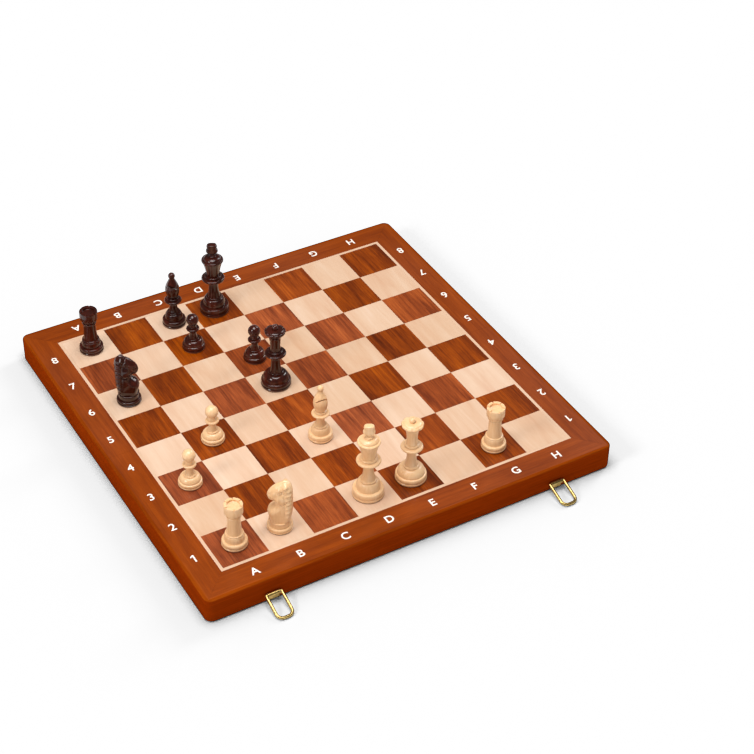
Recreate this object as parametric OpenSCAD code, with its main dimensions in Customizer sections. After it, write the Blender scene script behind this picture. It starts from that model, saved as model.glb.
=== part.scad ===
// Folding wooden chess case, opened flat as a board, with its thirty-two men.
// X runs along the files from A to H, Y runs up the ranks, Z is up.
// The origin is under the middle of the whole object, on the surface it stands on.

/* [Board] */
// Side of one square of the playing field
square_size = 45; // [40:1:50]
// Width of the light line round the playing field
line_w = 3; // [2:0.5:5]
// Width of the border outside the light line, up to the outer face
border_w = 28; // [24:1:34]
// Height of one half of the case
half_h = 25; // [25:1:30]
// Thickness of the case walls
wall_t = 10; // [8:1:12]
// Radius of the outer vertical corners
corner_r = 7; // [3:1:8]

/* [Playing face] */
// Thickness of the backing panel
panel_t = 1.6; // [1.5:0.1:2]
// Thickness of the veneer pieces on the panel
veneer_t = 0.5; // [0.4:0.1:0.6]
// Width of solid wall top left showing outside the veneer
edge_w = 3; // [3:0.5:5]
// Gap of the seam and of the joints between veneer pieces
joint_gap = 0.1; // [0.1:0.1:0.4]

/* [Foam inserts] */
// Depth of the foam face below the rim
foam_drop = 8; // [6:1:10]
// Clearance round a man in its pocket
pocket_gap = 0.5; // [0.4:0.1:1]

/* [Hinges] */
// Distance of each hinge from the middle of the seam
hinge_x = 130; // [90:5:150]
// Length of a hinge
hinge_len = 34; // [28:1:44]
// Width of one hinge leaf
leaf_w = 8.5; // [6:0.5:9]
// Thickness of a hinge leaf
leaf_t = 0.8; // [0.6:0.1:1]
// Radius of the hinge knuckle
knuckle_r = 1.3; // [1.2:0.1:1.5]
// Radius of the hinge pin
pin_r = 0.6; // [0.5:0.1:0.7]

/* [Latches] */
// Distance of each latch from the middle of the board
latch_x = 148; // [100:1:160]
// Width of the latch plate and its barrel
latch_w = 12; // [11:1:16]
// Radius of the bail's wire
wire_r = 1.3; // [1:0.1:1.4]
// Length of the bail from its pivot to the middle of its end
bail_len = 25; // [22:1:26]
// Angle of the resting bail below level
bail_tilt = 17; // [14:1:17]

/* [Chessmen] */
// Height of the king with its cross
king_h = 81; // [79:1:84]
// Height of the queen
queen_h = 71; // [70:0.5:74]
// Height of the bishop
bishop_h = 61.5; // [60:0.5:64]
// Height of the rook
rook_h = 47.5; // [46:0.5:50]
// Height of the pawn
pawn_h = 40; // [39:0.5:43]
// Base radius of the king
king_r = 14.8; // [14.3:0.1:15.3]
// Base radius of the queen
queen_r = 14.7; // [14:0.1:15]
// Base radius of the bishops
bishop_r = 11.8; // [11.4:0.1:12.2]
// Base radius of the knights
knight_r = 11.9; // [11.4:0.1:12]
// Base radius of the rooks
rook_r = 11.9; // [11.5:0.1:12.3]
// Base radius of the pawns
pawn_r = 11.3; // [10.5:0.1:11.5]

/* [Hidden] */
$fn = 72;
wood_color = "#b5501f";
veneer_color = "#7e3517";
light_color = "#efc594";
white_color = "#ecc999";
black_color = "#32170f";
brass_color = "#d0a544";
foam_color = "#2b2b2f";
felt_color = "#7a5a45";
ply_color = "#c89a63";

field = 8 * square_size;
half_w = field / 2 + line_w + border_w;
rim_z = knuckle_r;
top_z = rim_z + half_h;
panel_z = top_z - veneer_t - panel_t;
foam_z = rim_z + foam_drop;
inner_x = half_w - wall_t;
rabbet = half_w - edge_w;
felt_t = 0.8;
knight_h = 54;
// Height at which the king's cross starts
cross_z = 68.2;

// Latch geometry, in front of the near wall
plate_t = 0.8;
barrel_r = 1.9;
pivot_rise = 7.9;
keeper_w = 16;
nail_x = 3.4;
pivot_z = rim_z + pivot_rise;
pivot_y = -half_w - barrel_r - 0.1;
bail_in = latch_w / 2 - 2.5;
bail_out = latch_w / 2 + wire_r + 0.25;
bail_bend = 5.5;
keeper_d = 4.6;
keeper_t = 1;
// Height on the far wall of the inside of the bail's end when the case is shut
hook_z = rim_z + bail_len - pivot_rise - wire_r;
bail_reach = bail_len * cos(bail_tilt) + wire_r - pivot_y;
// The seam lies off the origin by half the difference between latch and keeper
seam_y = (bail_reach - half_w - keeper_d) / 2;

// Storage places. Officers lie in the far half and pawns in the near half.
officer_pitch = 40;
officer_row_y = 197;
knight_row_y = 102;
back_xs = [-165, -123, -72, 72, 123, 165];
pawn_pitch = 48;
pawn_rows = [-176, -82];

WHITE_MEN = ["white_king", "white_queen", "white_bishop_1", "white_bishop_2",
    "white_knight_1", "white_knight_2", "white_rook_1", "white_rook_2"];
BLACK_MEN = ["black_king", "black_queen", "black_bishop_1", "black_bishop_2",
    "black_knight_1", "black_knight_2", "black_rook_1", "black_rook_2"];
WHITE_PAWNS = [for (i = [1:8]) str("white_pawn_", i)];
BLACK_PAWNS = [for (i = [1:8]) str("black_pawn_", i)];
CASE = ["near_frame", "near_panel", "near_light_squares", "near_dark_squares",
    "near_border", "near_line", "near_foam", "near_hinge_leaves", "near_hinge_screws",
    "far_frame", "far_panel", "far_light_squares", "far_dark_squares",
    "far_border", "far_line", "far_foam", "far_hinge_leaves", "far_hinge_screws",
    "hinge_pins", "latch_plates", "latch_nails", "left_bail", "right_bail",
    "keepers", "keeper_nails"];

// ---- Outline helpers for the turned men ----

// Points along a bead that stands out by b from radius r
function bead(z0, z1, r, b) =
    [for (i = [0:6]) [r + b * sin(30 * i), z0 + (z1 - z0) * (1 - cos(30 * i)) / 2]];

// Points along a swelling shoulder from radius r0 to r1
function dome(z0, z1, r0, r1) =
    [for (i = [0:6]) [r1 + (r0 - r1) * cos(15 * i), z0 + (z1 - z0) * sin(15 * i)]];

// Points along a hollow neck from radius r0 in to r1
function cove(z0, z1, r0, r1) =
    [for (i = [0:6]) [r1 + (r0 - r1) * (1 - sin(15 * i)), z0 + (z1 - z0) * (1 - cos(15 * i))]];

// Points along a flare from radius r0 out to r1
function flare(z0, z1, r0, r1) =
    [for (i = [0:6]) [r0 + (r1 - r0) * (1 - cos(15 * i)), z0 + (z1 - z0) * sin(15 * i)]];

// Points of a ball from its waist angle up to its pole
function ball(z, r, from) =
    [for (i = [0:8]) let (a = from + (90 - from) * i / 8) [r * cos(a), z + r * sin(a)]];

// Foot shared by every man: round plinth, a second tier stepped in by step, and a fillet ring.
// h is the height of the foot.
function foot(r, h, stem, step) = concat(
    [[0, felt_t], [r - 0.5, felt_t], [r, felt_t + 0.5], [r, 0.16 * h]],
    bead(0.17 * h, 0.46 * h, r - 1.1, 1),
    dome(0.47 * h, 0.9 * h, r - step, stem + 1.4),
    bead(0.91 * h, h, stem + 0.9, 0.6));

function king_line() = concat(
    foot(king_r, 19, 6.6, 3.6),
    cove(19.2, 31, 6.6, 4.8),
    flare(31, 38.8, 4.8, 8.2),
    bead(38.9, 42, 10, 1.5),
    [[8.3, 42.3]],
    bead(42.5, 44.2, 7.6, 0.8),
    [[6.3, 44.5]],
    flare(46, 61.1, 6.3, 9.9),
    bead(61.2, 63.6, 9.8, 0.9),
    dome(63.7, 66.9, 8.8, 3.8),
    bead(67, cross_z, 3.2, 0.7),
    [[0, cross_z]]);

function queen_line() = concat(
    foot(queen_r, 16.5, 6, 1.8),
    cove(16.7, 28, 6, 4.5),
    flare(28, 36.4, 4.5, 7.4),
    bead(36.5, 39.3, 9, 1.4),
    [[7.2, 39.6]],
    bead(39.8, 41.3, 6.4, 0.8),
    [[5.2, 41.6]],
    flare(46, 62.2, 5.1, 9.2),
    bead(62.4, 65.2, 9.2, 1.1),
    dome(65.3, 66.6, 8.4, 3),
    ball(queen_h - 2.9, 2.9, -35));

function bishop_line() = concat(
    foot(bishop_r, 15.5, 5.2, 2.8),
    cove(15.7, 23, 5.2, 3.9),
    flare(23, 27.7, 3.9, 6.6),
    bead(27.8, 30.2, 7.5, 1.1),
    [[5.8, 30.5]],
    bead(30.7, 32.3, 5.2, 0.8),
    [for (i = [0:9]) let (t = i / 9) [4.6 + 3.2 * sin(180 * pow(t, 0.8)) - 2.4 * t, 32.6 + 22.4 * t]],
    ball(bishop_h - 3.1, 3.1, -40));

function rook_line() = concat(
    foot(rook_r, 14.5, 6.9, 2.6),
    cove(14.7, 33, 7, 6),
    bead(33.2, 34.8, 6.2, 0.7),
    flare(35, 38.2, 6.2, 8.1),
    [[8.6, 38.8], [8.6, rook_h], [5.8, rook_h], [5.8, rook_h - 2.4], [0, rook_h - 2.4]]);

function pawn_line() = concat(
    foot(pawn_r, 12.5, 4.5, 1.3),
    cove(12.7, 18.5, 4.5, 3.3),
    flare(18.5, 22.1, 3.3, 5),
    bead(22.1, 24.8, 5.3, 1.2),
    [[4.1, 24.9]],
    bead(25, 26.4, 3.7, 0.5),
    ball(pawn_h - 6.2, 6.2, -55));

// Half of the king's cross above cross_z, from the neck to the blunt top
CROSS = [[2.8, 0], [2.6, 1.2], [3.4, 2.6], [5.3, 4.2], [5.6, 6], [4.4, 7.8], [4.9, 9.8]];

// Side outline of the knight's head, nose towards +X, mane towards -X
HORSE = [[-9, 10.5], [-10.2, 13.9], [-11.4, 20.7], [-11.8, 29.4], [-11.8, 41], [-11.4, 47.5],
    [-9.8, 51.6], [-7, 53.7], [-3.8, 53.7], [-1.2, 52.6], [1.6, 51.4], [4.6, 49.4], [7.6, 46.8],
    [9.9, 43.6], [10.9, 40.3], [10.6, 37], [9, 34.6], [6, 33.6], [3.8, 32.4], [3.2, 30],
    [5.4, 27.8], [9, 25.1], [10.8, 21.6], [10.4, 17.8], [9.6, 13.9], [9, 10.5]];
// Half of the front outline of the head, from the neck up to the ears
HORSE_FRONT = [[8.4, 10.5], [8.8, 15.8], [8.2, 24.5], [7.4, 33.2], [6.8, 41], [5.8, 47.7], [4.2, 54]];

// ---- Men ----

module felt_disc(r) {
    cylinder(r = r - 1, h = felt_t);
}

module turned(line, felt_r, tone) {
    color(felt_color) felt_disc(felt_r);
    color(tone) rotate_extrude() polygon(line);
}

// The outline and its mirror image across the second axis, as one closed list
function both_sides(half) = concat(half, [for (i = [len(half) - 1:-1:0]) [-half[i][0], half[i][1]]]);

module king(tone) {
    top = king_h - cross_z;
    turned(king_line(), king_r, tone);
    color(tone) translate([0, 0, cross_z]) rotate([90, 0, 0]) linear_extrude(5.4, center = true)
        polygon(both_sides(concat(CROSS, [[4.4, top]])));
}

module queen(tone) {
    color(felt_color) felt_disc(queen_r);
    color(tone) difference() {
        rotate_extrude() polygon(queen_line());
        for (a = [0:40:320]) rotate(a) translate([10.4, 0, 66.1]) rotate([0, 90, 0])
            cylinder(r = 1.7, h = 4, center = true);
    }
}

module bishop(tone) {
    color(felt_color) felt_disc(bishop_r);
    color(tone) difference() {
        rotate_extrude() polygon(bishop_line());
        translate([2.4, 0, 44.6]) rotate([0, -52, 0]) translate([0, -9, -0.45]) cube([12, 18, 0.9]);
    }
}

module rook(tone) {
    color(felt_color) felt_disc(rook_r);
    color(tone) difference() {
        rotate_extrude() polygon(rook_line());
        for (a = [0:60:120]) rotate(a) translate([-10, -0.6, rook_h - 1.4]) cube([20, 1.2, 3]);
    }
}

module knight(tone) {
    color(felt_color) felt_disc(knight_r);
    color(tone) {
        rotate_extrude() polygon(concat(foot(knight_r, 11.5, 8.8, 2), [[0, 11.5]]));
        intersection() {
            rotate([90, 0, 0]) linear_extrude(20, center = true) polygon(HORSE);
            rotate([90, 0, 90]) linear_extrude(40, center = true) polygon(both_sides(HORSE_FRONT));
            translate([0, 0, 10.5]) {
                cylinder(r1 = 9.8, r2 = 13.6, h = 9);
                translate([0, 0, 9]) cylinder(r = 13.6, h = 35);
            }
        }
    }
}

module pawn(tone) {
    turned(pawn_line(), pawn_r, tone);
}

// Stands a man on the middle of a square, file and rank counted from 1, turned by turn
module on_square(file, rank, turn = 0) {
    translate([(file - 4.5) * square_size, (rank - 4.5) * square_size, top_z])
        rotate(turn) children();
}

// Lays a man of base radius r in a pocket, foot at y and head towards the seam
module in_pocket(x, y, r, turn = 0) {
    translate([x, y, panel_z - 0.15 - r]) rotate([y > 0 ? 90 : -90, 0, 0])
        rotate(turn) children();
}

function officer_x(i) = (i - 4.5) * officer_pitch;
function pawn_x(i) = (i - 3.5) * pawn_pitch;

// ---- Case halves. Each is drawn for the far half, +Y, and mirrored for the near one ----

// Puts a far-half shape on the near side
module near() {
    mirror([0, 1, 0]) children();
}

module half_outline(side) {
    seam = joint_gap / 2;
    translate([-side, seam]) square([2 * side, side - corner_r - seam]);
    translate([-side + corner_r, seam]) square([2 * side - 2 * corner_r, side - seam]);
    for (s = [-1, 1]) translate([s * (side - corner_r), side - corner_r]) circle(corner_r);
}

// Four rails: two mitred corners at the outer rail, and a rail along the seam between the sides.
// They have a rabbet for the panel and mortises for the hinges.
module frame() {
    cut = 0.05;
    color(wood_color) difference() {
        translate([0, 0, rim_z]) linear_extrude(half_h) half_outline(half_w);
        for (s = [-1, 1]) {
            translate([s * inner_x, inner_x, 0]) rotate(s * -45 + 90)
                translate([-wall_t, -cut / 2, 0]) cube([3 * wall_t, cut, 2 * half_h]);
            translate([s * inner_x - cut / 2, -1, 0]) cube([cut, wall_t + 2, 2 * half_h]);
        }
        translate([-inner_x, wall_t, 0]) cube([2 * inner_x, inner_x - wall_t, top_z + 1]);
        translate([-rabbet, -1, panel_z]) cube([2 * rabbet, rabbet + 1, half_h]);
        for (s = [-1, 1]) translate([s * hinge_x, 0, rim_z]) {
            rotate([0, 90, 0]) cylinder(r = knuckle_r + 0.4, h = hinge_len + 1, center = true);
            translate([-hinge_len / 2, 0, -1]) cube([hinge_len, leaf_w, 1 + leaf_t]);
        }
    }
}

module panel() {
    seam = joint_gap / 2;
    color(ply_color) translate([-rabbet, seam, panel_z])
        cube([2 * rabbet, rabbet - seam, panel_t]);
}

// Squares of one colour in one half, in rows counted from the seam
module squares(parity, tone) {
    side = square_size - joint_gap;
    color(tone) for (file = [0:7], row = [0:3]) if ((file + row) % 2 == parity)
        translate([file * square_size - field / 2, row * square_size, top_z - veneer_t])
            translate([joint_gap / 2, joint_gap / 2, 0]) cube([side, side, veneer_t]);
}

// The light line round three sides of the field
module field_line() {
    reach = field / 2 + line_w;
    color(light_color) translate([0, 0, top_z - veneer_t]) linear_extrude(veneer_t) difference() {
        translate([-reach, joint_gap / 2]) square([2 * reach, reach - joint_gap / 2]);
        translate([-field / 2, -1]) square([field, field / 2 + 1]);
    }
}

// Two side strips and one long strip of border veneer, mitred at the corners
module border() {
    inner = field / 2 + line_w;
    seam = joint_gap / 2;
    top = rabbet - joint_gap;
    low = inner - joint_gap;
    color(veneer_color) translate([0, 0, top_z - veneer_t]) linear_extrude(veneer_t) {
        polygon([[-low, inner], [low, inner], [top, rabbet], [-top, rabbet]]);
        for (s = [-1, 1])
            polygon([[s * inner, seam], [s * rabbet, seam], [s * rabbet, rabbet], [s * inner, inner]]);
    }
}

// A pocket cut right through the foam, wide at the foot and narrow along the body
module pocket(x, y, foot_r, foot_len, body_r, len) {
    depth = panel_z - foam_z + 2;
    translate([x - foot_r - pocket_gap, y - foot_len, foam_z - 1])
        cube([2 * (foot_r + pocket_gap), foot_len + pocket_gap, depth]);
    translate([x - body_r - pocket_gap, y - len - pocket_gap, foam_z - 1])
        cube([2 * (body_r + pocket_gap), len, depth]);
}

module foam_block() {
    translate([-inner_x, wall_t, foam_z]) cube([2 * inner_x, inner_x - wall_t, panel_z - foam_z]);
}

module officer_foam() {
    color(foam_color) difference() {
        foam_block();
        for (i = [0, 1, 8, 9]) pocket(officer_x(i), officer_row_y, rook_r, 14, 9.4, rook_h);
        for (i = [2, 3, 6, 7]) pocket(officer_x(i), officer_row_y, bishop_r, 14.5, 9, bishop_h);
        for (i = [4, 5]) pocket(officer_x(i), officer_row_y, king_r, 18, 12, king_h);
        for (i = [0, 1, 4, 5]) pocket(back_xs[i], knight_row_y, knight_r, 14, 12.4, knight_h);
        for (i = [2, 3]) pocket(back_xs[i], knight_row_y, queen_r, 17, 11, queen_h);
    }
}

module pawn_foam() {
    color(foam_color) difference() {
        foam_block();
        for (i = [0:7], row = pawn_rows) pocket(pawn_x(i), -row, pawn_r, 13, 7.4, pawn_h);
    }
}

// One set of hinge leaves. own is true for the leaf with the two outer knuckles.
module hinge_leaves(own) {
    third = hinge_len / 3;
    color(brass_color) for (s = [-1, 1]) translate([s * hinge_x, 0, rim_z]) difference() {
        union() {
            translate([-hinge_len / 2, knuckle_r + 0.4, 0])
                cube([hinge_len, leaf_w - knuckle_r - 0.4, leaf_t]);
            for (k = own ? [-1, 1] : [0]) translate([k * third, 0, 0]) {
                rotate([0, 90, 0]) cylinder(r = knuckle_r, h = third - 0.3, center = true);
                translate([-third / 2 + 0.15, 0, 0]) cube([third - 0.3, knuckle_r + 1, leaf_t]);
            }
        }
        rotate([0, 90, 0]) cylinder(r = pin_r + 0.05, h = hinge_len + 1, center = true);
        for (k = [-1, 1]) translate([k * third, leaf_w / 2 + 0.8, -1]) cylinder(r = 1.6, h = 3);
    }
}

module hinge_screws() {
    color(brass_color) for (s = [-1, 1], k = [-1, 1])
        translate([s * hinge_x + k * hinge_len / 3, leaf_w / 2 + 0.8, rim_z + 0.1]) {
            cylinder(r = 1.5, h = leaf_t - 0.1);
            cylinder(r = 0.8, h = 7);
        }
}

module hinge_pins() {
    color(brass_color) for (s = [-1, 1]) translate([s * hinge_x, 0, rim_z])
        rotate([0, 90, 0]) cylinder(r = pin_r, h = hinge_len - 0.2, center = true);
}

// ---- Latches on the near wall, keepers on the far wall ----

// A plate curled at its top into the barrel that carries the bail
module latch_plates() {
    color(brass_color) for (s = [-1, 1]) translate([s * latch_x, 0, 0]) difference() {
        union() {
            translate([-latch_w / 2, -half_w - plate_t, rim_z + 0.6])
                cube([latch_w, plate_t, pivot_rise - 0.6]);
            translate([0, pivot_y, pivot_z]) rotate([0, 90, 0])
                cylinder(r = barrel_r, h = latch_w, center = true);
        }
        translate([0, pivot_y, pivot_z]) rotate([0, 90, 0])
            cylinder(r = wire_r + 0.05, h = latch_w + 1, center = true);
    }
}

// Two round-headed nails driven through a plate of thickness plate_t into a wall
module nail_pair() {
    for (k = [-1, 1]) translate([k * nail_x, 0, 0]) {
        translate([0, plate_t, 0]) rotate([90, 0, 0]) cylinder(r = 0.6, h = 6);
        translate([0, plate_t, 0]) rotate([-90, 0, 0]) cylinder(r = 1.1, h = 0.4);
    }
}

module latch_nails() {
    color(brass_color) for (s = [-1, 1])
        translate([s * latch_x, -half_w, rim_z + 3.2]) mirror([0, 1, 0]) nail_pair();
}

// A wire loop whose two ends turn inwards into the barrel
module bail(s) {
    leg = bail_len - bail_bend;
    color(brass_color) translate([s * latch_x, pivot_y, pivot_z]) rotate([bail_tilt, 0, 0]) {
        for (k = [-1, 1]) {
            translate([k * (bail_in + bail_out) / 2, 0, 0]) rotate([0, 90, 0])
                cylinder(r = wire_r, h = bail_out - bail_in, center = true);
            translate([k * bail_out, 0, 0]) sphere(wire_r);
            translate([k * bail_out, 0, 0]) rotate([90, 0, 0]) cylinder(r = wire_r, h = leg);
            translate([k * (bail_out - bail_bend), -leg, 0]) mirror([k < 0 ? 1 : 0, 0, 0])
                rotate(-90) rotate_extrude(angle = 90) translate([bail_bend, 0]) circle(wire_r);
        }
        translate([0, -bail_len, 0]) rotate([0, 90, 0])
            cylinder(r = wire_r, h = 2 * (bail_out - bail_bend), center = true);
    }
}

// A small plate with a lipped tongue that the bail drops over when the case is shut
module keepers() {
    color(brass_color) for (s = [-1, 1]) translate([s * latch_x, half_w, hook_z]) {
        translate([-keeper_w / 2, 0, -9]) cube([keeper_w, plate_t, 7]);
        translate([-3.5, 0, -3]) cube([7, plate_t, 3]);
        translate([-3.5, 0, -1.6]) cube([7, keeper_d, keeper_t]);
        translate([-3.5, keeper_d - keeper_t, -1.6]) cube([7, keeper_t, 2.6]);
    }
}

module keeper_nails() {
    color(brass_color) for (s = [-1, 1])
        translate([s * latch_x, half_w, hook_z - 5.8]) nail_pair();
}

// Puts the seam at its place, so that the origin is under the middle of the whole object
module seated() {
    translate([0, seam_y, 0]) children();
}

seated() near() frame();  // near_frame
seated() near() panel();  // near_panel
seated() near() squares(0, light_color);  // near_light_squares
seated() near() squares(1, veneer_color);  // near_dark_squares
seated() near() border();  // near_border
seated() near() field_line();  // near_line
seated() near() pawn_foam();  // near_foam
seated() near() hinge_leaves(true);  // near_hinge_leaves
seated() near() hinge_screws();  // near_hinge_screws
seated() frame();  // far_frame
seated() panel();  // far_panel
seated() squares(1, light_color);  // far_light_squares
seated() squares(0, veneer_color);  // far_dark_squares
seated() border();  // far_border
seated() field_line();  // far_line
seated() officer_foam();  // far_foam
seated() hinge_leaves(false);  // far_hinge_leaves
seated() hinge_screws();  // far_hinge_screws
seated() hinge_pins();
seated() latch_plates();
seated() latch_nails();
seated() bail(-1);  // left_bail
seated() bail(1);  // right_bail
seated() keepers();
seated() keeper_nails();

// Men in play on the near half
seated() on_square(4, 1, -30) king(white_color);  // white_king
seated() on_square(5, 1) queen(white_color);  // white_queen
seated() on_square(4, 3, -95) bishop(white_color);  // white_bishop_1
seated() on_square(2, 1, 152) knight(white_color);  // white_knight_1
seated() on_square(1, 1, 10) rook(white_color);  // white_rook_1
seated() on_square(7, 1, 20) rook(white_color);  // white_rook_2
seated() on_square(1, 3) pawn(white_color);  // white_pawn_1
seated() on_square(2, 4) pawn(white_color);  // white_pawn_2
// Men in play on the far half
seated() on_square(4, 8, -26) king(black_color);  // black_king
seated() on_square(4, 5) queen(black_color);  // black_queen
seated() on_square(3, 8, -140) bishop(black_color);  // black_bishop_1
seated() on_square(1, 6, -28) knight(black_color);  // black_knight_1
seated() on_square(1, 8) rook(black_color);  // black_rook_1
seated() on_square(3, 7) pawn(black_color);  // black_pawn_1
seated() on_square(4, 6) pawn(black_color);  // black_pawn_2
// Captured officers in the far half's foam
seated() in_pocket(officer_x(1), officer_row_y, rook_r) rook(black_color);  // black_rook_2
seated() in_pocket(officer_x(2), officer_row_y, bishop_r, 90) bishop(black_color);  // black_bishop_2
seated() in_pocket(back_xs[0], knight_row_y, knight_r) knight(black_color);  // black_knight_2
seated() in_pocket(officer_x(7), officer_row_y, bishop_r, 90) bishop(white_color);  // white_bishop_2
seated() in_pocket(back_xs[5], knight_row_y, knight_r) knight(white_color);  // white_knight_2
// Captured pawns in the near half's foam
seated() in_pocket(pawn_x(0), pawn_rows[0], pawn_r) pawn(black_color);  // black_pawn_3
seated() in_pocket(pawn_x(1), pawn_rows[0], pawn_r) pawn(black_color);  // black_pawn_4
seated() in_pocket(pawn_x(2), pawn_rows[0], pawn_r) pawn(black_color);  // black_pawn_5
seated() in_pocket(pawn_x(3), pawn_rows[0], pawn_r) pawn(black_color);  // black_pawn_6
seated() in_pocket(pawn_x(0), pawn_rows[1], pawn_r) pawn(black_color);  // black_pawn_7
seated() in_pocket(pawn_x(1), pawn_rows[1], pawn_r) pawn(black_color);  // black_pawn_8
seated() in_pocket(pawn_x(7), pawn_rows[0], pawn_r) pawn(white_color);  // white_pawn_3
seated() in_pocket(pawn_x(6), pawn_rows[0], pawn_r) pawn(white_color);  // white_pawn_4
seated() in_pocket(pawn_x(5), pawn_rows[0], pawn_r) pawn(white_color);  // white_pawn_5
seated() in_pocket(pawn_x(4), pawn_rows[0], pawn_r) pawn(white_color);  // white_pawn_6
seated() in_pocket(pawn_x(7), pawn_rows[1], pawn_r) pawn(white_color);  // white_pawn_7
seated() in_pocket(pawn_x(6), pawn_rows[1], pawn_r) pawn(white_color);  // white_pawn_8
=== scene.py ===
import math

import bmesh
import bpy
import numpy as np
from mathutils import Matrix, Vector


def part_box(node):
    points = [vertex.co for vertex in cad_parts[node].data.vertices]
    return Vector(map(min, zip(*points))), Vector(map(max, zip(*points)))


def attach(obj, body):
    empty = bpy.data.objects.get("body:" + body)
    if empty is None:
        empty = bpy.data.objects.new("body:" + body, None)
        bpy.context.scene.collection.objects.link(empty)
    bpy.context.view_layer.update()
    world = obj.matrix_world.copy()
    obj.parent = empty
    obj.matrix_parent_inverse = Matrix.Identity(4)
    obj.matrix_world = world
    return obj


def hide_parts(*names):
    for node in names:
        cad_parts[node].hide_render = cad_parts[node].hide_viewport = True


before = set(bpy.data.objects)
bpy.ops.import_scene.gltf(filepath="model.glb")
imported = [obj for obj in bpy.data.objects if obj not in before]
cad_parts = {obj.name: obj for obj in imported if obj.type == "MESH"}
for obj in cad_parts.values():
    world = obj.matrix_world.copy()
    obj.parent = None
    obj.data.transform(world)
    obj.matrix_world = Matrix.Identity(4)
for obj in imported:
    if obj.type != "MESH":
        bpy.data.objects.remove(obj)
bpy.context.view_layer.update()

# ------------------------------------------------------------------ places
MM = 0.001
SQ = 45.0                                   # one square
low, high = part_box("near_frame")
SEAM = high[1] / MM + 0.05                  # y of the seam
TOP = high[2] / MM                          # playing surface
HALF = high[0] / MM                         # outer face from the middle
RIM = low[2] / MM
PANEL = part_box("near_panel")[0][2] / MM     # underside of the panel
FOAM_GAP = 0.15                             # a lying man's foot stays this far off the panel
KIND_R = {"king": 14.8, "queen": 14.7, "bishop": 11.8, "knight": 11.9, "rook": 11.9, "pawn": 11.3}


def lin(r, g, b, a=1.0):
    """sRGB 0..255 to linear."""
    def one(c):
        c /= 255.0
        return c / 12.92 if c <= 0.04045 else ((c + 0.055) / 1.055) ** 2.4
    return (one(r), one(g), one(b), a)


# ------------------------------------------------------------------ camera, floor, lights
scene = bpy.context.scene
cam_data = bpy.data.cameras.new("camera")
cam = bpy.data.objects.new("camera", cam_data)
scene.collection.objects.link(cam)
cam_data.sensor_width = 36.0
cam_data.lens = 90.97
cam_data.clip_end = 20.0
right = Vector((0.866420, -0.499039, 0.016635))
down = Vector((-0.303274, -0.552419, -0.776440))
ahead = Vector((0.396663, 0.667678, -0.629972))
eye = Vector((-14.8727, -27.9467, 26.0292)) * SQ * MM + Vector((0, SEAM * MM, TOP * MM))
m = Matrix((right, -down, -ahead)).transposed().to_4x4()
m.translation = eye
cam.matrix_world = m
scene.camera = cam


def mesh_object(name, verts, faces, smooth_deg=35):
    me = bpy.data.meshes.new(name)
    me.from_pydata([tuple(c * MM for c in v) for v in verts], [], faces)
    me.validate()
    me.update()
    ob = bpy.data.objects.new(name, me)
    scene.collection.objects.link(ob)
    shade(ob, smooth_deg)
    return ob


def shade(ob, deg=35):
    me = ob.data
    me.polygons.foreach_set("use_smooth", [True] * len(me.polygons))
    me.set_sharp_from_angle(angle=math.radians(deg))


FLOOR = 6000                                # half the floor's side
floor = mesh_object("floor", [(-FLOOR, -FLOOR, 0), (FLOOR, -FLOOR, 0), (FLOOR, FLOOR, 0), (-FLOOR, FLOOR, 0)],
                    [(0, 1, 2, 3)])
floor.location.z = -0.2 * MM                # just under the hinge knuckles
floor.is_shadow_catcher = True

world = bpy.data.worlds.new("studio")
scene.world = world
world.use_nodes = True
backdrop = world.node_tree.nodes["Background"]
backdrop.inputs["Color"].default_value = (1.0, 1.0, 1.0, 1)
seen = world.node_tree.nodes.new("ShaderNodeLightPath")
level = world.node_tree.nodes.new("ShaderNodeMapRange")        # softer as a light, dim in reflections
level.inputs["To Min"].default_value = 0.34
level.inputs["To Max"].default_value = 0.10
white = world.node_tree.nodes.new("ShaderNodeMath")            # plain white behind
white.operation = "MAXIMUM"
world.node_tree.links.new(seen.outputs["Is Glossy Ray"], level.inputs["Value"])
world.node_tree.links.new(level.outputs["Result"], white.inputs[0])
world.node_tree.links.new(seen.outputs["Is Camera Ray"], white.inputs[1])
world.node_tree.links.new(white.outputs[0], backdrop.inputs["Strength"])
scene.view_settings.view_transform = "Standard"


def area(name, at, aim, size, power, color=(1, 1, 1)):
    li = bpy.data.lights.new(name, "AREA")
    li.shape = "RECTANGLE"
    li.size, li.size_y = size
    li.energy = power
    li.color = color
    ob = bpy.data.objects.new(name, li)
    scene.collection.objects.link(ob)
    ob.location = at
    ob.rotation_euler = (Vector(aim) - Vector(at)).to_track_quat("-Z", "Y").to_euler()


area("overhead", (-0.15, -0.1, 1.5), (0, 0, 0), (0.9, 0.9), 19)
area("right_soft", (1.5, 0.5, 1.2), (0, 0, 0), (0.5, 0.9), 9)
area("left_soft", (-1.5, -0.3, 1.1), (0, 0, 0), (0.45, 0.45), 10)


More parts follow.
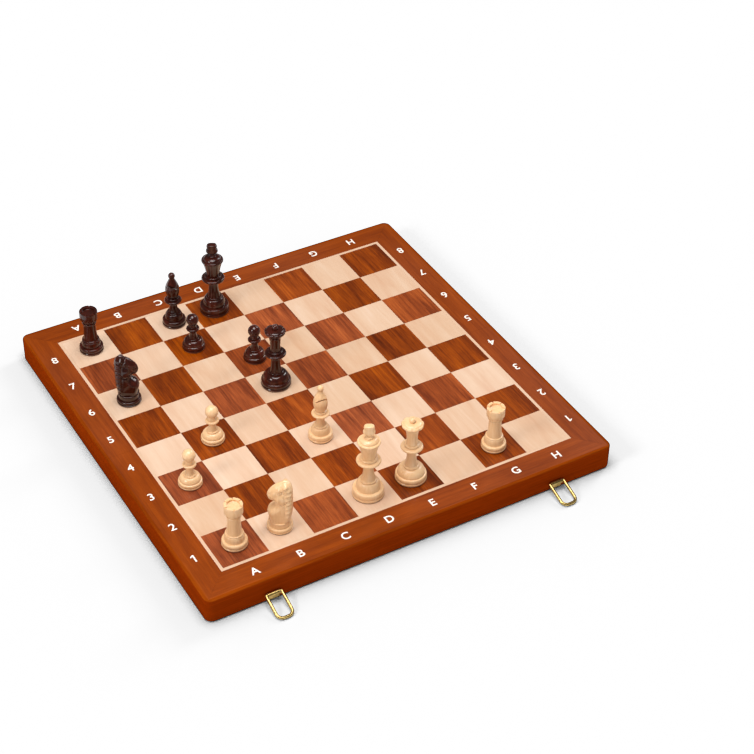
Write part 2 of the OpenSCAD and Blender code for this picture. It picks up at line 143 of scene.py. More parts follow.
# ------------------------------------------------------------------ materials
class Tree:
    """Small helper over a material's nodes."""

    def __init__(self, name):
        self.mat = bpy.data.materials.new(name)
        self.mat.use_nodes = True
        self.t = self.mat.node_tree
        self.bsdf = self.t.nodes["Principled BSDF"]

    def node(self, kind, **inputs):
        n = self.t.nodes.new(kind)
        for k, v in inputs.items():
            self.put(n.inputs[k], v)
        return n

    def put(self, socket, v):
        if isinstance(v, bpy.types.NodeSocket):
            self.t.links.new(v, socket)
        else:
            socket.default_value = v

    def math(self, op, a, b=0.0, c=0.0, clamp=False):
        n = self.t.nodes.new("ShaderNodeMath")
        n.operation = op
        n.use_clamp = clamp
        for i, v in enumerate((a, b, c)):
            self.put(n.inputs[i], v)
        return n.outputs[0]

    def vec(self, op, a, b=(0, 0, 0)):
        n = self.t.nodes.new("ShaderNodeVectorMath")
        n.operation = op
        self.put(n.inputs[0], a)
        self.put(n.inputs[1], b)
        return n.outputs[0]

    def mix(self, f, a, b, kind="RGBA"):
        n = self.t.nodes.new("ShaderNodeMix")
        n.data_type = kind
        inputs, output = {"RGBA": ((0, 6, 7), 2), "FLOAT": ((0, 2, 3), 0)}[kind]
        for i, v in zip(inputs, (f, a, b)):
            self.put(n.inputs[i], v)
        return n.outputs[output]

    def noise(self, vector, scale, detail=4.0, rough=0.55, distort=0.0):
        n = self.t.nodes.new("ShaderNodeTexNoise")
        self.put(n.inputs["Vector"], vector)
        n.inputs["Scale"].default_value = scale
        n.inputs["Detail"].default_value = detail
        n.inputs["Roughness"].default_value = rough
        n.inputs["Distortion"].default_value = distort
        return n.outputs["Fac"]

    def ramp(self, f, stops):
        n = self.t.nodes.new("ShaderNodeValToRGB")
        self.put(n.inputs[0], f)
        el = n.color_ramp.elements
        while len(el) < len(stops):
            el.new(0.5)
        for e, (p, c) in zip(el, stops):
            e.position = p
            e.color = c
        return n.outputs[0]

    def bump(self, height, strength, distance):
        n = self.t.nodes.new("ShaderNodeBump")
        n.inputs["Strength"].default_value = strength
        n.inputs["Distance"].default_value = distance
        self.put(n.inputs["Height"], height)
        self.put(self.bsdf.inputs["Normal"], n.outputs[0])

    def set(self, **kw):
        for k, v in kw.items():
            self.put(self.bsdf.inputs[k.replace("_", " ")], v)


def object_mm(t):
    """Position in millimetres from the middle of the board."""
    co = t.node("ShaderNodeTexCoord").outputs["Object"]
    co = t.vec("ADD", co, (0, -SEAM * MM, 0))
    return t.vec("MULTIPLY", co, (1000, 1000, 1000))


def stick_mm(t):
    """Position in millimetres in the stick that the man was turned from."""
    p = t.node("ShaderNodeAttribute")
    p.attribute_name = "stick"
    return t.vec("MULTIPLY", p.outputs["Vector"], (1000, 1000, 1000))


def split(t, v):
    n = t.node("ShaderNodeSeparateXYZ", Vector=v)
    return n.outputs[0], n.outputs[1], n.outputs[2]


def join(t, x, y, z):
    return t.node("ShaderNodeCombineXYZ", X=x, Y=y, Z=z).outputs[0]


def grain(t, along, across, third, stops, streak=0.5, fine=1.0, push=1.9):
    """Wood figure: broad bands, streaks and pores, all long in the first coordinate."""
    broad = t.noise(join(t, t.math("MULTIPLY", along, 0.010), t.math("MULTIPLY", across, 0.06),
                         t.math("MULTIPLY", third, 0.06)), 1.0, 3.0, 0.5, 0.6)
    lines = t.noise(join(t, t.math("MULTIPLY", along, 0.022), t.math("MULTIPLY", across, 0.55),
                         t.math("MULTIPLY", third, 0.55)), 1.0, 5.0, 0.62, 0.25)
    pores = t.noise(join(t, t.math("MULTIPLY", along, 0.12), t.math("MULTIPLY", across, 3.2),
                         t.math("MULTIPLY", third, 3.2)), 1.0, 3.0, 0.6)
    f = t.mix(streak, broad, lines, "FLOAT")
    f = t.mix(0.22 * fine, f, pores, "FLOAT")
    f = t.math("MULTIPLY_ADD", t.math("SUBTRACT", f, 0.5), push, 0.5, clamp=True)
    return t.ramp(f, stops), pores, f


# wood colours from dark to light, as stops on a ramp
MAHOGANY = [(0.0, lin(68, 24, 6)), (0.35, lin(111, 44, 9)), (0.62, lin(150, 67, 16)), (1.0, lin(191, 97, 30))]
EDGING = [(0.0, lin(89, 32, 3)), (0.35, lin(120, 48, 6)), (0.62, lin(142, 61, 8)), (1.0, lin(168, 79, 15))]
PLY = [(0.0, lin(150, 104, 60)), (0.5, lin(192, 146, 96)), (1.0, lin(214, 172, 122))]
MAPLE = [(0.0, lin(206, 162, 131)), (0.4, lin(214, 177, 147)), (0.7, lin(219, 186, 158)),
         (1.0, lin(224, 195, 172))]
BOXWOOD = [(0.0, lin(214, 156, 102)), (0.4, lin(241, 193, 141)), (0.7, lin(248, 206, 158)),
           (1.0, lin(252, 220, 182))]
DARK_WOOD = [(0.0, lin(22, 6, 3)), (0.45, lin(50, 15, 6)), (0.75, lin(84, 27, 12)), (1.0, lin(120, 46, 22))]
STAIN = [(0.0, lin(103, 33, 2)), (0.4, lin(130, 44, 4)), (0.7, lin(148, 53, 5)), (1.0, lin(166, 66, 8))]


def round_the_edge(t, x, y):
    """Coordinates along and across the four sides of the board, mitred at its corners."""
    side = t.math("GREATER_THAN", t.math("ABSOLUTE", x), t.math("ABSOLUTE", y))
    return t.mix(side, x, y, "FLOAT"), t.mix(side, y, x, "FLOAT")


def lacquer(t, rough, coat, spec):
    t.set(Coat_Weight=coat, Coat_Roughness=0.12, Specular_IOR_Level=spec)
    t.put(t.bsdf.inputs["Roughness"], rough)


def veneer(name, stops, vary, squares=True, push=1.9, streak=0.5):
    """Lacquered veneer, with a figure and a tone of its own on each square, or running along each strip."""
    t = Tree(name)
    p = object_mm(t)
    x, y, z = split(t, p)
    if squares:
        cell = join(t, t.math("FLOOR", t.math("DIVIDE", t.math("ADD", x, 4 * SQ), SQ)),
                    t.math("FLOOR", t.math("DIVIDE", t.math("ADD", y, 4 * SQ), SQ)), 0.5)
        n = t.node("ShaderNodeTexWhiteNoise", Vector=cell)
        tone, jump = n.outputs["Value"], split(t, n.outputs["Color"])
        across = t.math("MULTIPLY_ADD", jump[0], 300.0, x)     # each square from its own part of a sheet
        along = t.math("MULTIPLY_ADD", jump[1], 900.0, y)
    else:
        tone = t.noise(p, 0.006, 1.0)
        along, across = round_the_edge(t, x, y)
    col, pores, f = grain(t, along, across, z, stops, streak, 1.0, push)
    gain = t.math("MULTIPLY_ADD", t.math("SUBTRACT", tone, 0.5), vary, 1.0)
    n = t.node("ShaderNodeHueSaturation", Color=col, Value=gain)
    t.put(n.inputs["Saturation"], t.math("MULTIPLY_ADD", t.math("SUBTRACT", tone, 0.5), -0.12, 1.0))
    t.set(Base_Color=n.outputs[0])
    lacquer(t, t.math("MULTIPLY_ADD", pores, 0.14, 0.27), 0.14, 0.2)
    t.bump(t.mix(0.5, pores, f, "FLOAT"), 0.10, 0.0002)
    return t.mat


def stained(name, stops):
    """Solid rails: grain runs along each rail, top strip as dark as the border."""
    t = Tree(name)
    p = object_mm(t)
    x, y, z = split(t, p)
    along, across = round_the_edge(t, x, y)
    col, pores, _ = grain(t, along, t.math("ADD", across, z), z, stops, 0.6, 0.8)
    dark = grain(t, along, across, z, EDGING)[0]
    top_strip = 1.15                        # depth of the dark strip under the playing face
    edge = t.math("MULTIPLY", t.math("SUBTRACT", z, TOP - top_strip), 2.2, clamp=True)
    t.set(Base_Color=t.mix(edge, col, dark))
    lacquer(t, t.math("MULTIPLY_ADD", pores, 0.12, 0.30), 0.0, 0.0)
    t.bump(pores, 0.08, 0.0002)
    return t.mat


def man_wood(name, stops, rough, coat, coat_rough, spec=0.5):
    """Turned wood: the figure follows the stick the man was turned from."""
    t = Tree(name)
    x, y, z = split(t, stick_mm(t))
    col, pores, _ = grain(t, z, x, y, stops, 0.45, 0.7)
    t.set(Base_Color=col, Coat_Weight=coat, Coat_Roughness=coat_rough, Specular_IOR_Level=spec)
    t.put(t.bsdf.inputs["Roughness"], t.math("MULTIPLY_ADD", pores, 0.12, rough - 0.06))
    t.bump(pores, 0.06, 0.0002)
    return t.mat


def metal(name, color, dark, rough):
    t = Tree(name)
    p = object_mm(t)
    x, y, z = split(t, p)
    brush = t.noise(join(t, t.math("MULTIPLY", x, 0.4), t.math("MULTIPLY", y, 6.0),
                         t.math("MULTIPLY", z, 6.0)), 1.0, 3.0)
    spots = t.noise(p, 0.9, 3.0, 0.6)
    t.set(Metallic=1.0, Base_Color=t.ramp(spots, [(0.3, dark), (0.6, color)]))
    t.put(t.bsdf.inputs["Roughness"], t.math("MULTIPLY_ADD", brush, 0.16, rough - 0.08))
    t.bump(brush, 0.05, 0.00005)
    return t.mat


def foam_material():
    t = Tree("foam_cells")
    p = object_mm(t)
    cells = t.node("ShaderNodeTexVoronoi", Vector=p)
    cells.inputs["Scale"].default_value = 1.6
    speck = t.noise(p, 1.9, 4.0, 0.7)
    tones = [(0.35, lin(26, 27, 30)), (0.62, lin(52, 54, 58)), (0.8, lin(98, 100, 104))]
    t.set(Base_Color=t.ramp(speck, tones), Roughness=0.95, Specular_IOR_Level=0.2)
    t.bump(t.mix(0.5, cells.outputs["Distance"], speck, "FLOAT"), 0.8, 0.0006)
    return t.mat


def ply_material():
    t = Tree("plywood")
    x, y, z = split(t, object_mm(t))
    col, pores, _ = grain(t, x, y, z, PLY)
    layers = t.noise(join(t, 0.0, 0.0, t.math("MULTIPLY", z, 2.0)), 1.0, 0.0)
    t.set(Base_Color=t.mix(t.math("MULTIPLY", layers, 0.35), col, lin(120, 78, 44)))
    t.put(t.bsdf.inputs["Roughness"], t.math("MULTIPLY_ADD", pores, 0.2, 0.55))
    t.bump(pores, 0.15, 0.0002)
    return t.mat


def felt_material():
    t = Tree("felt")
    fuzz = t.noise(stick_mm(t), 3.0, 5.0, 0.8)
    t.set(Base_Color=t.ramp(fuzz, [(0.3, lin(112, 72, 52)), (0.7, lin(164, 116, 90))]), Roughness=1.0,
          Sheen_Weight=0.4)
    t.bump(fuzz, 0.7, 0.0004)
    return t.mat


def paint_material():
    t = Tree("printed_white")
    p = object_mm(t)
    wear = t.noise(p, 1.4, 4.0, 0.7)
    t.set(Base_Color=t.ramp(wear, [(0.3, lin(238, 228, 214)), (0.55, lin(252, 248, 240))]), Roughness=0.45)
    t.bump(wear, 0.1, 0.0001)
    return t.mat


M = {
    "dark_squares": veneer("mahogany_squares", MAHOGANY, 0.36, push=2.5, streak=0.5),
    "light_squares": veneer("maple_squares", MAPLE, 0.10, push=2.4, streak=0.25),
    "border": veneer("mahogany_border", EDGING, 0.2, squares=False),
    "line": veneer("maple_line", MAPLE, 0.05, squares=False),
    "frame": stained("stained_rails", STAIN),
    "panel": ply_material(),
    "foam": foam_material(),
    "brass": metal("brass", lin(216, 188, 118), lin(168, 136, 72), 0.28),
    "white": man_wood("boxwood", BOXWOOD, 0.36, 0.45, 0.14),
    "black": man_wood("dark_lacquered", DARK_WOOD, 0.30, 0.8, 0.06, 0.12),
    "felt": felt_material(),
    "paint": paint_material(),
}


def dress(node, key):
    """Give a CAD node its material."""
    ob = bpy.data.objects[node]
    ob.data.materials.clear()
    ob.data.materials.append(M[key])
    for p in ob.data.polygons:
        p.material_index = 0


for half in ("near", "far"):
    for part in ("dark_squares", "light_squares", "border", "line", "panel", "foam"):
        dress(f"{half}_{part}", part)
    dress(f"{half}_hinge_leaves", "brass")
    dress(f"{half}_hinge_screws", "brass")
for node in ("hinge_pins", "latch_plates", "latch_nails", "left_bail", "right_bail", "keepers", "keeper_nails"):
    dress(node, "brass")

# ------------------------------------------------------------------ rails with rounded arrises
for half in ("near", "far"):
    me = bpy.data.objects[f"{half}_frame"].data.copy()
    bm = bmesh.new()
    bm.from_mesh(me)
    bmesh.ops.remove_doubles(bm, verts=bm.verts, dist=1e-6)
    bmesh.ops.dissolve_limit(bm, angle_limit=math.radians(0.5), verts=bm.verts, edges=bm.edges)

    def outer(v):
        """Whether a point is on the outer faces or the round corners, whose radius is 7 mm."""
        x, y = abs(v.co.x), abs(v.co.y - SEAM * MM)
        h, r = HALF * MM, 7 * MM
        if x > h - 1e-5 or y > h - 1e-5:
            return True
        return math.hypot(x - (h - r), y - (h - r)) > r - 1e-5 and x > h - r and y > h - r

    # height, width and steps of each rounding: the playing face, then the rim
    for z, w, seg in ((TOP * MM, 1.6 * MM, 4), (RIM * MM, 0.8 * MM, 2)):
        edges = [e for e in bm.edges if all(abs(v.co.z - z) < 1e-6 and outer(v) for v in e.verts)]
        bmesh.ops.bevel(bm, geom=edges, offset=w, segments=seg, profile=0.5, affect="EDGES", clamp_overlap=True)
    bm.to_mesh(me)
    bm.free()
    me.materials.clear()
    me.materials.append(M["frame"])
    ob = bpy.data.objects.new(f"{half}_rails", me)
    scene.collection.objects.link(ob)
    shade(ob, 30)
    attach(ob, f"{half}_half")
    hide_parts(f"{half}_frame")


# ------------------------------------------------------------------ men
def bead(z0, z1, r, b, n=12):
    """A ring of radius r that bulges by b."""
    return [(r + b * math.sin(math.pi * i / n), z0 + (z1 - z0) * (1 - math.cos(math.pi * i / n)) / 2)
            for i in range(n + 1)]


def dome(z0, z1, r0, r1, n=14):
    """A quarter round that closes from r0 at z0 to r1 at z1."""
    return [(r1 + (r0 - r1) * math.cos(math.pi / 2 * i / n), z0 + (z1 - z0) * math.sin(math.pi / 2 * i / n))
            for i in range(n + 1)]


def ball(z, r, start, n=16):
    """A ball round height z, from this latitude to its top."""
    return [(r * math.cos(math.radians(start + (90 - start) * i / n)),
             z + r * math.sin(math.radians(start + (90 - start) * i / n))) for i in range(n + 1)]


def curve(points, n=10):
    """Smooth line through points, for swelling bodies."""
    p = [points[0]] + list(points) + [points[-1]]
    out = []
    for i in range(1, len(p) - 2):
        for k in range(n):
            t = k / n
            q = []
            for c in (0, 1):
                a, b, d, e = p[i - 1][c], p[i][c], p[i + 1][c], p[i + 2][c]
                q.append(0.5 * (2 * b + (d - a) * t + (2 * a - 5 * b + 4 * d - e) * t * t
                                + (3 * b - a - 3 * d + e) * t ** 3))
            out.append((max(q[0], 0.0), q[1]))
    return out + [tuple(points[-1])]


def foot(r, h, stem, step):
    """Round plinth, a second tier stepped in, and a fillet ring."""
    return ([(0, 0.8), (r - 0.7, 0.8), (r - 0.2, 0.95), (r, 1.4), (r, 0.15 * h), (r - 0.25, 0.168 * h)]
            + bead(0.17 * h, 0.46 * h, r - 1.1, 1.0)
            + dome(0.47 * h, 0.9 * h, r - step, stem + 1.4)
            + bead(0.91 * h, h, stem + 0.9, 0.6, 8))


LINES = {
    "king": foot(14.8, 19, 6.6, 3.6)
    + curve([(6.6, 19.2), (5.3, 25), (4.8, 31), (5.4, 36), (8.2, 38.8)])
    + bead(38.9, 42.0, 10.0, 1.5)
    + [(8.3, 42.3)] + bead(42.5, 44.2, 7.6, 0.8, 8)
    + curve([(6.3, 44.5), (6.6, 48.0), (8.0, 55.0), (9.9, 61.1)])
    + bead(61.2, 63.6, 9.8, 0.9) + dome(63.7, 66.9, 8.8, 3.8)
    + bead(67.0, 68.2, 3.2, 0.7, 8) + [(0, 68.2)],
    "queen": foot(14.7, 16.5, 6.0, 1.8)
    + curve([(6.0, 16.7), (4.9, 22), (4.4, 28), (4.9, 32.5), (7.4, 36.4)])
    + bead(36.5, 39.3, 9.0, 1.4)
    + [(7.2, 39.6)] + bead(39.8, 41.3, 6.4, 0.8, 8)
    + curve([(5.2, 41.6), (5.0, 47), (5.3, 53), (6.4, 58), (9.2, 62.2)])
    + bead(62.4, 65.2, 9.2, 1.1) + dome(65.3, 66.6, 8.4, 3.0)
    + ball(68.1, 2.9, -35),
    "bishop": foot(11.8, 15.5, 5.2, 2.8)
    + curve([(5.2, 15.7), (4.1, 19.5), (3.9, 23), (4.5, 25.6), (6.6, 27.7)])
    + bead(27.8, 30.2, 7.5, 1.1)
    + [(5.8, 30.5)] + bead(30.7, 32.3, 5.2, 0.8, 8)
    + curve([(4.6, 32.6), (5.9, 35.5), (6.8, 40.0), (6.8, 43.5), (5.6, 48.0), (3.6, 52.4), (2.3, 55.0)])
    + ball(58.4, 3.1, -40),
    "rook": foot(11.9, 14.5, 6.9, 2.6)
    + curve([(7.0, 14.7), (6.5, 20), (6.1, 26), (6.0, 31.5), (6.2, 33.0)])
    + bead(33.2, 34.8, 6.2, 0.7, 8)
    + curve([(6.2, 35.0), (6.6, 36.8), (8.1, 38.2)])
    + [(8.45, 38.5), (8.6, 38.8), (8.6, 43.0), (8.6, 45.6), (8.6, 46.2), (8.6, 47.1), (8.35, 47.5), (6.1, 47.5),
       (5.8, 47.2), (5.8, 46.2), (5.8, 45.3), (5.4, 45.1), (0, 45.1)],
    "pawn": foot(11.3, 12.5, 4.5, 1.3)
    + curve([(4.5, 12.7), (3.6, 16), (3.3, 18.5), (3.6, 20.6), (5.0, 22.1)])
    + bead(22.1, 24.8, 5.3, 1.2)
    + [(4.1, 24.9)] + bead(25.0, 26.4, 3.7, 0.5, 8) + ball(33.8, 6.2, -55, 24),
}


def lathe(line, n=96, reach=None):
    """Revolve a profile; reach(angle, r, z) may move a ring's points."""
    verts, faces = [], []
    prev = None
    for r, z in line:
        if r < 1e-4:
            ring = [len(verts)]
            verts.append((0, 0, z))
        else:
            ring = list(range(len(verts), len(verts) + n))
            for i in range(n):
                a = 2 * math.pi * i / n
                q, w = (r, z) if reach is None else reach(a, r, z)
                verts.append((q * math.cos(a), q * math.sin(a), w))
        if prev is not None and not (len(prev) == 1 and len(ring) == 1):
            for i in range(n):
                j = (i + 1) % n
                if len(prev) == 1:
                    faces.append((prev[0], ring[j], ring[i]))
                elif len(ring) == 1:
                    faces.append((prev[i], prev[j], ring[0]))
                else:
                    faces.append((prev[i], prev[j], ring[j], ring[i]))
        prev = ring
    return verts, faces


def queen_reach(a, r, z):
    """Shallow scallops round the coronet."""
    if 61.5 < z < 66.0 and r > 8.3:
        dip = max(0.0, math.cos(9 * a)) ** 2
        k = max(0.0, 1 - abs(z - 64.2) / 3.0)
        return r - 0.8 * dip * k, z - 0.45 * dip * k
    return r, z


def rook_reach(a, r, z):
    """Six small notches sawn across the top of the crown."""
    bottom, spacing, half_wide = 46.5, 60.0, 0.5
    if z > bottom and r > 5.5:
        turn = math.degrees(a) % spacing
        across = math.radians(min(turn, spacing - turn)) * r
        if across < half_wide:
            return r, bottom
    return r, z


def add(parts, verts, faces):
    """Join a mesh to the growing lists of vertices and faces."""
    base = len(parts[0])
    parts[0].extend(verts)
    parts[1].extend(tuple(i + base for i in f) for f in faces)


def surface(values, origin, step):
    """Naive surface nets over a grid of signed values, negative inside."""
    inside = values < 0
    nx, ny, nz = values.shape
    cell = np.zeros((nx - 1, ny - 1, nz - 1), int)
    for dx in (0, 1):
        for dy in (0, 1):
            for dz in (0, 1):
                cell += inside[dx:nx - 1 + dx, dy:ny - 1 + dy, dz:nz - 1 + dz]
    active = (cell > 0) & (cell < 8)
    idx = -np.ones(active.shape, int)
    idx[active] = np.arange(active.sum())
    base = np.argwhere(active)
    total = np.zeros((len(base), 3))
    count = np.zeros(len(base))
    corners = [(a, b, c) for a in (0, 1) for b in (0, 1) for c in (0, 1)]
    for p in corners:
        for ax in range(3):
            if p[ax] == 1:
                continue
            q = list(p)
            q[ax] = 1
            va = values[base[:, 0] + p[0], base[:, 1] + p[1], base[:, 2] + p[2]]
            vb = values[base[:, 0] + q[0], base[:, 1] + q[1], base[:, 2] + q[2]]
            hit = (va < 0) != (vb < 0)
            t = np.where(hit, va / np.where(hit, va - vb, 1.0), 0.0)
            pos = base + np.array(p)
            pos = pos.astype(float)
            pos[:, ax] += t
            total[hit] += pos[hit]
            count[hit] += 1
    verts = total / count[:, None] * step + origin
    faces = []
    for ax, (u, v) in enumerate(((1, 2), (2, 0), (0, 1))):
        sl_a = [slice(None)] * 3
        sl_b = [slice(None)] * 3
        sl_a[ax] = slice(0, -1)
        sl_b[ax] = slice(1, None)
        a, b = inside[tuple(sl_a)], inside[tuple(sl_b)]
        for i in np.argwhere(a != b):
            if i[u] == 0 or i[v] == 0 or i[u] >= active.shape[u] or i[v] >= active.shape[v]:
                continue
            quad = []
            for du, dv in ((-1, -1), (0, -1), (0, 0), (-1, 0)):
                c = [int(k) for k in i]
                c[u] += du
                c[v] += dv
                quad.append(int(idx[tuple(c)]))
            if a[tuple(i)]:
                faces.append(tuple(quad))
            else:
                faces.append(tuple(reversed(quad)))
    return verts.tolist(), faces


def outline_distance(px, pz, poly):
    """Signed distance to a closed outline, positive inside."""
    inside = np.zeros(px.shape, bool)
    best = np.full(px.shape, 1e9)
    n = len(poly)
    for i in range(n):
        x0, z0 = poly[i]
        x1, z1 = poly[(i + 1) % n]
        dx, dz = x1 - x0, z1 - z0
        t = np.clip(((px - x0) * dx + (pz - z0) * dz) / (dx * dx + dz * dz + 1e-12), 0, 1)
        best = np.minimum(best, np.hypot(px - x0 - t * dx, pz - z0 - t * dz))
        cross = ((z0 > pz) != (z1 > pz)) & (px < (x1 - x0) * (pz - z0) / (z1 - z0 + 1e-12) + x0)
        inside ^= cross
    return np.where(inside, best, -best)


def horse():
    """Carved head: an outline swollen to a rounded body, with mane, eye, cheek and mouth cut in."""
    raw = [(-6.4, 4.0), (-9.0, 10.5), (-10.2, 13.9), (-11.4, 20.7), (-11.8, 29.4), (-11.8, 41.0),
           (-11.4, 47.5), (-9.8, 51.6), (-7.0, 53.7), (-3.8, 53.7), (-1.2, 52.6), (1.6, 51.4), (4.6, 49.4),
           (7.6, 46.8), (9.9, 43.6), (10.9, 40.3), (10.6, 37.0), (9.0, 34.6), (6.0, 33.6), (3.8, 32.4),
           (3.2, 30.0), (5.4, 27.8), (9.0, 25.1), (10.8, 21.6), (10.4, 17.8), (9.6, 13.9), (9.0, 10.5),
           (6.4, 4.0)]
    shift = 50                              # curve() keeps x above zero, so the outline is moved and put back
    line = [(x - shift, z) for x, z in curve([(a + shift, b) for a, b in raw], 6)]
    step = 0.42
    xs = np.arange(-14, 12.6, step)
    ys = np.arange(-9.5, 9.6, step)
    zs = np.arange(9.6, 56, step)
    px, pz = np.meshgrid(xs, zs, indexing="ij")
    d = outline_distance(px, pz, line)
    # half width: wide neck, slimmer towards nose and crown
    wide = np.interp(pz, [10, 16, 25, 34, 42, 49, 54], [8.4, 8.8, 8.2, 7.4, 6.8, 5.8, 4.2])
    nose = np.clip((px - 1.0) / 9.0, 0, 1) * np.clip((pz - 30.0) / 2.0, 0, 1)
    wide = wide * (1 - 0.46 * nose)
    reach = 5.2
    k = np.clip(d / reach, 0, 1)
    half = wide * np.sqrt(np.clip(1 - (1 - k) ** 2, 0, 1))
    # mane: a raised band at the back, cut with sweeping locks
    back = np.interp(pz, [12, 24, 36, 44, 49, 54], [-6.6, -5.6, -5.6, -5.0, -3.4, -0.6])
    mane = 1 / (1 + np.exp((px - back) * 2.2))
    locks = np.sin((pz * 1.0 + px * 0.9 + 0.05 * px * px) * 2 * np.pi / 4.6)
    half = half + np.where(d > 0.4, mane * (0.45 + 0.30 * locks), 0) * np.clip(d / 2.0, 0, 1)
    seam = np.exp(-((px - back - 0.9) / 0.55) ** 2) * np.clip((pz - 17) / 4, 0, 1)
    half = half - 0.45 * seam * np.clip(d / 2.0, 0, 1)
    # cheek disc, brow, eye, nostril, mouth and jaw line

    def spot(x, z, r, h, p=2):
        return h * np.exp(-(np.hypot(px - x, pz - z) / r) ** p)
    half = half + spot(-1.2, 37.2, 4.4, 1.0, 4) + spot(-0.6, 47.2, 2.2, 0.8, 4)
    half = half - spot(-0.8, 45.0, 1.9, 1.9) + spot(-0.8, 45.0, 1.0, 2.1)
    half = half - spot(8.6, 41.6, 0.9, 1.0)
    mouth = np.exp(-((pz - 37.2 - 0.10 * (px - 8)) / 0.45) ** 2) * np.clip((px - 5.2) / 0.8, 0, 1)
    half = half - 0.9 * mouth
    bridle = np.exp(-((px - 4.4 + 0.25 * (pz - 38)) / 0.5) ** 2) * np.clip((pz - 33.5) / 1.5, 0, 1)
    half = half - 0.35 * bridle
    jaw = np.exp(-((np.hypot(px + 1.0, pz - 38.0) - 6.4) / 0.6) ** 2) * (pz < 38.5) * (px > -5.5)
    half = half - 0.9 * jaw * np.clip(d / 2.0, 0, 1)
    ear = spot(-5.2, 51.4, 1.9, 1.7, 3)
    half = half + ear * np.clip(d / 0.8, 0, 1)
    solid = np.where(d > 0, half, d)
    vals = np.abs(ys)[None, :, None] - solid[:, None, :]
    # split between the ears
    gap = (np.exp(-((px + 5.4) / 2.6) ** 2) * np.clip((pz - 50.6) / 1.6, 0, 1))[:, None, :]
    vals = vals + gap * np.clip(1.3 - np.abs(ys), 0, None)[None, :, None] * 3.2
    # flat underneath, and no wider than the foot it grows from
    flat = (10.6 - zs)[None, None, :]
    limit = np.interp(zs, [10.6, 19.5, 56], [9.8, 13.6, 13.6])[None, None, :]
    girth = np.hypot(xs[:, None, None], ys[None, :, None]) - limit
    vals = np.maximum(np.maximum(vals, flat), girth)
    return surface(vals, np.array([xs[0], ys[0], zs[0]]), step)


def cross():
    """The king's stubby finial cross, swelling from its neck and blunt at the top."""
    prof = [(3.1, 67.9), (2.6, 69.2), (3.2, 70.9), (5.2, 72.3), (5.6, 73.8), (5.2, 75.2), (4.2, 76.1),
            (4.5, 77.4), (4.9, 78.9), (4.4, 80.3), (3.2, 80.9), (0, 81.0)]
    verts, faces = [], []
    n = 28                                  # points round each ring
    squareness = 0.62                       # 1 is an ellipse, 0 a rectangle
    for r, z in curve(prof, 5):
        for i in range(n):
            a = 2 * math.pi * i / n
            c, s = math.cos(a), math.sin(a)
            x = math.copysign(abs(c) ** squareness, c) * max(r, 0.02)
            y = math.copysign(abs(s) ** squareness, s) * max(min(r * 0.72, 2.9), 0.02)
            verts.append((x, y, z))
    rings = len(verts) // n
    for k in range(rings - 1):
        for i in range(n):
            j = (i + 1) % n
            faces.append((k * n + i, k * n + j, (k + 1) * n + j, (k + 1) * n + i))
    faces.append(tuple(reversed(range(n))))
    faces.append(tuple(range((rings - 1) * n, rings * n)))
    return verts, faces


def cut(verts, faces, matrix):
    """Boolean a unit cube under this matrix out of a mesh and return plain lists."""
    me = bpy.data.meshes.new("tmp")
    me.from_pydata(verts, [], faces)
    ob = bpy.data.objects.new("tmp", me)
    scene.collection.objects.link(ob)
    bm = bmesh.new()
    bmesh.ops.create_cube(bm, size=1.0, matrix=matrix)
    tool_mesh = bpy.data.meshes.new("tool")
    bm.to_mesh(tool_mesh)
    bm.free()
    tool = bpy.data.objects.new("tool", tool_mesh)
    scene.collection.objects.link(tool)
    mod = ob.modifiers.new("cut", "BOOLEAN")
    mod.operation = "DIFFERENCE"
    mod.solver = "EXACT"
    mod.object = tool
    dg = bpy.context.evaluated_depsgraph_get()
    done = bpy.data.meshes.new_from_object(ob.evaluated_get(dg))
    out = [tuple(v.co) for v in done.vertices], [tuple(p.vertices) for p in done.polygons]
    for o in (tool, ob):
        bpy.data.objects.remove(o)
    bpy.data.meshes.remove(done)
    return out


def build(kind):
    """Vertices and faces of a man standing at the origin, in millimetres."""
    line = LINES.get(kind)
    if kind == "knight":
        parts = [[], []]
        add(parts, *lathe(foot(11.9, 11.5, 8.8, 2.0) + [(0, 11.5)]))
        add(parts, *horse())
        return parts
    if kind == "queen":
        return lathe(line, 108, queen_reach)
    if kind == "king":
        parts = [[], []]
        add(parts, *lathe(line))
        add(parts, *cross())
        return parts
    if kind == "rook":
        return lathe(line, 288, rook_reach)
    v, f = lathe(line)
    if kind == "bishop":
        slot = Matrix.Translation((2.4, 0, 44.6)) @ Matrix.Rotation(math.radians(-52), 4, "Y") \
            @ Matrix.Translation((6, 0, 0)) @ Matrix.Diagonal((12, 18, 0.9, 1))
        return cut(v, f, slot)
    return v, f


SHAPES = {k: build(k) for k in KIND_R}


def placed(name, verts, faces, place, start, material, body):
    """A mesh put in its place, whose wood figure starts at its own point of the stick."""
    ob = mesh_object(name, [tuple(place @ Vector(v)) for v in verts], faces, 40)
    stick = ob.data.attributes.new("stick", "FLOAT_VECTOR", "POINT")
    stick.data.foreach_set("vector", [(v[k] + start[k]) * MM for v in verts for k in range(3)])
    ob.data.materials.append(material)
    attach(ob, body)
    return ob


def man(node, kind, place, seed):
    """The turned man and the felt disc under his foot."""
    body = node + "_man"
    start = Vector((17.3 * seed, 41.7 * seed, 113.0 * seed))
    turned = placed(node + "_turned", *SHAPES[kind], place, start, M[node.split("_")[0]], body)
    r = KIND_R[kind] - 0.6
    disc = [(r * f, z) for f, z in ((0.0, 0.03), (0.5, 0.03), (0.985, 0.03), (1.0, 0.15), (1.0, 0.78),
                                    (0.97, 0.86), (0.0, 0.86))]
    placed(node + "_felt", *lathe(disc, 64), place, start, M["felt"], body)
    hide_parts(node)


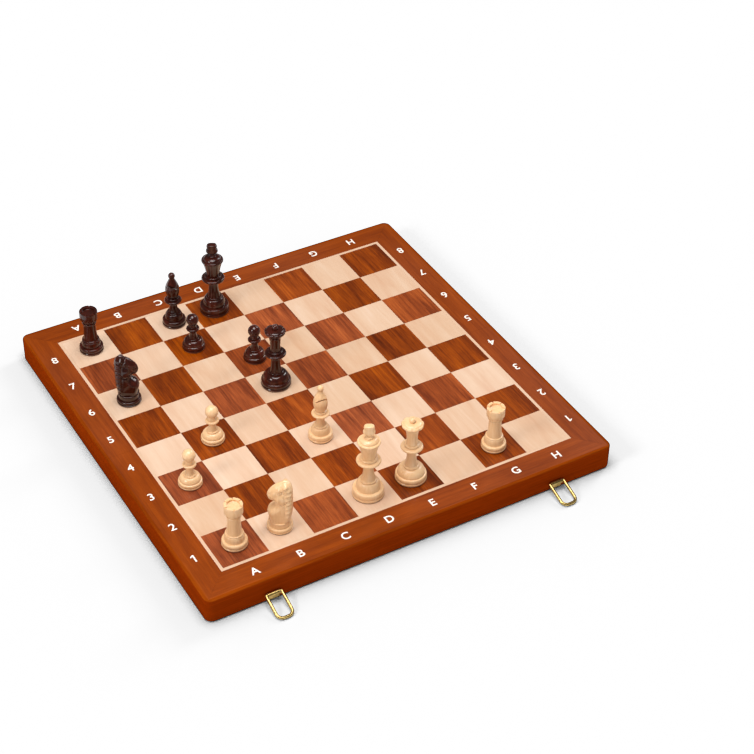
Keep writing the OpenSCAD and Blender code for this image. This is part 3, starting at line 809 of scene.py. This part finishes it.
def stand(file, rank, turn):
    """Place of a man on his square, turned by this many degrees."""
    return Matrix.Translation(((file - 4.5) * SQ, SEAM + (rank - 4.5) * SQ, TOP)) \
        @ Matrix.Rotation(math.radians(turn), 4, "Z")


def lie(x, y, r, turn):
    """Place of a man of foot radius r in his pocket under the panel, with his head towards the seam."""
    return Matrix.Translation((x, SEAM + y, PANEL - FOAM_GAP - r)) \
        @ Matrix.Rotation(math.radians(90 if y > 0 else -90), 4, "X") \
        @ Matrix.Rotation(math.radians(turn), 4, "Z")


# man, file, rank, turn in degrees
STANDING = [("white_king", 4, 1, -30), ("white_queen", 5, 1, 0), ("white_bishop_1", 4, 3, -95),
            ("white_knight_1", 2, 1, 152), ("white_rook_1", 1, 1, 10), ("white_rook_2", 7, 1, 20),
            ("white_pawn_1", 1, 3, 0), ("white_pawn_2", 2, 4, 0), ("black_king", 4, 8, -26),
            ("black_queen", 4, 5, 0), ("black_bishop_1", 3, 8, -140), ("black_knight_1", 1, 6, -28),
            ("black_rook_1", 1, 8, 0), ("black_pawn_1", 3, 7, 0), ("black_pawn_2", 4, 6, 0)]
# man, x and y of his foot from the middle of the board, turn in degrees
LYING = [("black_rook_2", -140, 197, 0), ("black_bishop_2", -100, 197, 90), ("black_knight_2", -165, 102, 0),
         ("white_bishop_2", 100, 197, 90), ("white_knight_2", 165, 102, 0)]
for tone, sign in (("black", -1), ("white", 1)):
    for k, (x, y) in enumerate([(168, -176), (120, -176), (72, -176), (24, -176), (168, -82), (120, -82)]):
        LYING.append((f"{tone}_pawn_{k + 3}", sign * x, y, 0))

seed = 1
for node, file, rank, turn in STANDING:
    man(node, node.split("_")[1], stand(file, rank, turn), seed)
    seed += 1
for node, x, y, turn in LYING:
    kind = node.split("_")[1]
    man(node, kind, lie(x, y, KIND_R[kind], turn), seed)
    seed += 1


# ------------------------------------------------------------------ printed file letters and rank numbers
INK = 0.02                                  # half the thickness of the print
EDGE = 196.5                                # middle of the printed rows, from the middle of the board


def flag(me):
    """The font's 1 is a bare bar: add the stroke that leans from its top."""
    bm = bmesh.new()
    bm.from_mesh(me)
    lower, upper = [[bm.verts.new((x * MM, y * MM, z * MM)) for x, y in
                     ((-0.74, 4.95), (-2.9, 3.3), (-2.9, 1.9), (-0.74, 3.3))] for z in (-INK, INK)]
    bm.faces.new(upper)
    bm.faces.new(list(reversed(lower)))
    for i in range(4):
        bm.faces.new((upper[i], lower[i], lower[i - 3], upper[i - 3]))
    bm.to_mesh(me)
    bm.free()


def letter(text, x, y, turned, half):
    """One printed character at x, y from the middle of the board."""
    cu = bpy.data.curves.new(f"print_{text}", "FONT")
    cu.body = text
    cu.size = (12.6 if text.isdigit() else 12.0) * MM
    cu.align_x = "CENTER"
    cu.align_y = "CENTER"
    cu.offset = 0.00014 if text.isdigit() else 0.00020         # thickens the strokes
    cu.extrude = INK * MM
    ob = bpy.data.objects.new(f"print_{text}", cu)
    ob.location = (x * MM, (SEAM + y) * MM, (TOP + 0.03) * MM)
    ob.rotation_euler = (0, 0, math.pi if turned else 0)
    scene.collection.objects.link(ob)
    dg = bpy.context.evaluated_depsgraph_get()
    me = bpy.data.meshes.new_from_object(ob.evaluated_get(dg))
    if text == "1":
        flag(me)
    me.transform(Matrix.Translation(ob.location) @ ob.rotation_euler.to_matrix().to_4x4())
    bpy.data.objects.remove(ob)
    side = "b" if turned else "a"
    piece = bpy.data.objects.new(f"printed_{text}_{side}", me)
    scene.collection.objects.link(piece)
    me.materials.clear()
    me.materials.append(M["paint"])
    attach(piece, f"{half}_half")


for i in range(8):
    at = (i - 3.5) * SQ
    letter("ABCDEFGH"[i], at, -EDGE, False, "near")
    letter("ABCDEFGH"[i], at, EDGE, True, "far")
    half = "near" if i < 4 else "far"
    letter(str(i + 1), -EDGE, at, False, half)
    letter(str(i + 1), EDGE, at, True, half)
